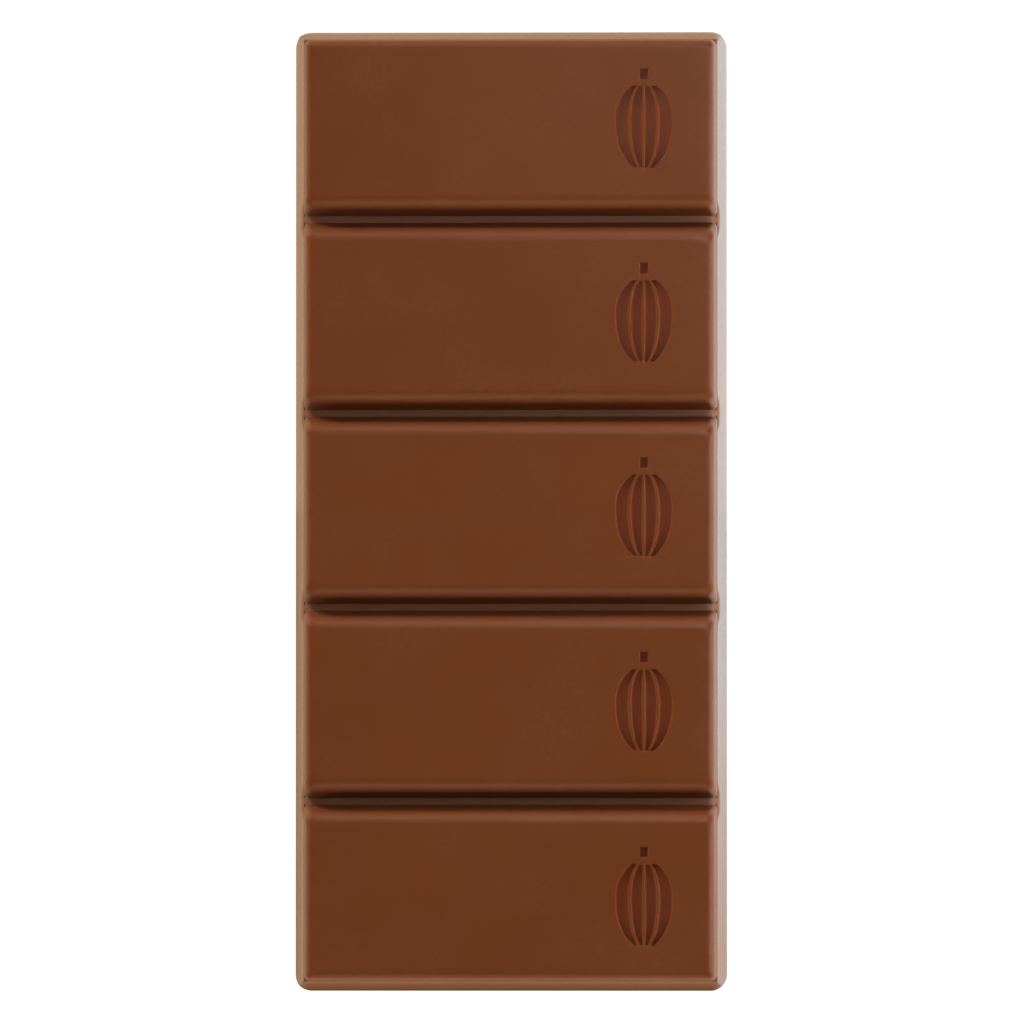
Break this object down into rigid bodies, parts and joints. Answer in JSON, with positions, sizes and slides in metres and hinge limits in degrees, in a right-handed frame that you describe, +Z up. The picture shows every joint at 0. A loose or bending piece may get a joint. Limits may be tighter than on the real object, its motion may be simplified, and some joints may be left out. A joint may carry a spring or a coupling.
{
  "type": "milk chocolate bar",
  "caption": "Slim moulded bar of milk chocolate: wide blocks in one row, parted by V grooves on a base slab, each block with a small pod pressed into its face",
  "frame": {"origin": "middle of the flat back of the bar, on the plane it rests on", "axes": "+X across the bar, +Y along the row of blocks, +Z up out of the moulded side"},
  "size_m": [0.05, 0.1112, 0.008],
  "materials": {
    "chocolate": "satin milk chocolate, softly glossy where it lay against the mould"
  },
  "bodies": {
    "root": {"chocolate_bar": "chocolate"}
  },
  "joints": []
}
